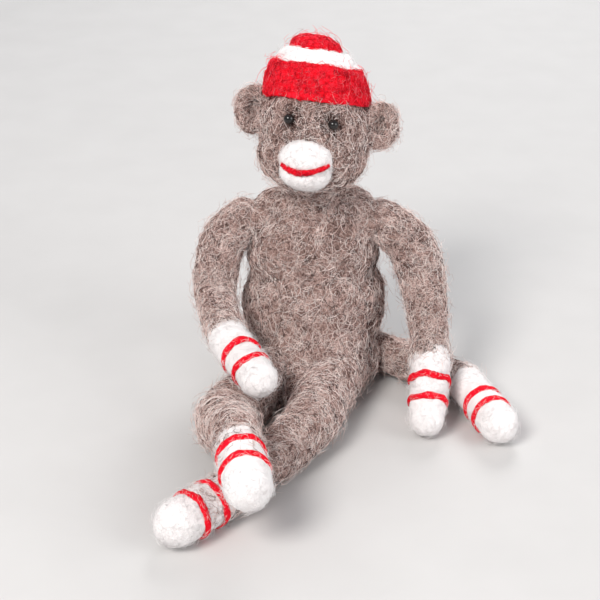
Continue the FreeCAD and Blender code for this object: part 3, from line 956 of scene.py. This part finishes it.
def make_arms():
    for side, _ in SIDES:
        shoulder, elbow, wrist = ARM[side]
        follow = bend_across()
        nodes = [f"{side}_{part}_felt" for part in ("shoulder", "upper_arm", "forearm")]
        seed = SEEDS[side + "_arm"]
        route = bowed(ARM[side], ARM_BOW[side])
        make_limb(side + "_arm", route, ARM_RADII[side], nodes, follow, seed, ARM_FIBRES)
        make_tip(side + "_hand_white", side + "_hand", wrist, HAND_TIP[side], HAND_RADII, HAND_STRIPES,
                 seed + TIP_SEED)


def make_legs():
    for side, _ in SIDES:
        hip, knee, ankle = LEG[side]
        follow = bend_across()
        nodes = [f"{side}_{part}_felt" for part in ("hip", "thigh", "shin")]
        seed = SEEDS[side + "_leg"]
        route = bowed(LEG[side], LEG_BOW[side])
        make_limb(side + "_leg", route, LEG_RADII[side], nodes, follow, seed, LEG_FIBRES, LIMB_FLOOR)
        make_tip(side + "_foot_white", side + "_foot", ankle, FOOT_TIP[side], FOOT_RADII, FOOT_STRIPES,
                 seed + TIP_SEED, TIP_FLOOR, FOOT_CUFF, FOOT_VEIL_AND_SHADE[side])


def make_tail():
    root, middle, end = TAIL
    follow = bend_across()
    nodes = ("tail_root_felt", "tail_base_felt", "tail_middle_felt")
    make_limb("tail", TAIL, TAIL_RADII, nodes, follow, SEEDS["tail"], TAIL_FIBRES, LIMB_FLOOR)
    make_tip("tail_white", "tail_tip", end, TAIL_TIP, TAIL_TIP_RADII, TAIL_STRIPES, SEEDS["tail_tip"],
             TIP_FLOOR)


def dress_hidden_nodes():
    """The wires and cores inside the felt keep their CAD shapes."""
    for name, node in frame["nodes"].items():
        kind = "steel" if name.endswith("_wire") else "core" if name.endswith("_core") else None
        if kind:
            node.data.materials.clear()
            node.data.materials.append(MATERIALS[kind])


# ---------------------------------------------------------------- stage

def area_light(name, place, aim, size, power, colour=(1, 1, 1)):
    light = bpy.data.lights.new(name, "AREA")
    light.shape = "DISK"
    light.size = size
    light.energy = power
    light.color = colour
    lamp = bpy.data.objects.new(name, light)
    lamp.location = place
    lamp.rotation_euler = (Vector(aim) - Vector(place)).to_track_quat("-Z", "Y").to_euler()
    bpy.context.scene.collection.objects.link(lamp)


def make_stage():
    far = 4.0
    corners = [(-far, -far, 0), (far, -far, 0), (far, far, 0), (-far, far, 0)]
    floor = mesh_object("floor", corners, [(0, 1, 2, 3)], False)
    material, shader = principled("floor_paper", (0.60, 0.59, 0.58), 0.8)
    grain = noise_node(material.node_tree, 0.05, 3.0)
    tinted(material, shader, grain, (0.3, (0.59, 0.58, 0.57)), (0.7, (0.61, 0.60, 0.59)))
    floor.data.materials.append(material)
    world = bpy.data.worlds.new("studio")
    bpy.context.scene.world = world
    world.use_nodes = True
    sky = world.node_tree.nodes["Background"]
    sky.inputs["Color"].default_value = (0.92, 0.94, 1.0, 1)
    sky.inputs["Strength"].default_value = 0.42
    area_light("key", (-0.35, -0.55, 0.65), (0, -0.02, 0.04), 0.35, 6.6, (1.0, 0.97, 0.94))
    area_light("fill", (0.6, -0.35, 0.35), (0, -0.02, 0.04), 0.5, 2.4)
    area_light("back", (0.15, 0.6, 0.55), (0, 0, 0.05), 0.4, 3.0)


def make_camera():
    data = bpy.data.cameras.new("camera")
    data.lens, data.sensor_width = CAMERA_LENS, CAMERA_SENSOR
    data.clip_start, data.clip_end = 0.01, 20
    camera = bpy.data.objects.new("camera", data)
    tilt = math.radians(CAMERA_TILT)
    forward = Vector((0, math.cos(tilt), -math.sin(tilt)))
    camera.location = CAMERA_AIM - forward * CAMERA_DISTANCE
    camera.rotation_euler = Euler((math.pi / 2 - tilt, 0, 0))
    bpy.context.scene.collection.objects.link(camera)
    bpy.context.scene.camera = camera


make_camera()
make_stage()
bpy.context.scene.view_settings.view_transform = "Standard"
dress_hidden_nodes()
make_torso()
make_neck()
make_head()
make_ears()
make_muzzle()
make_eyes()
make_cap()
make_arms()
make_legs()
make_tail()
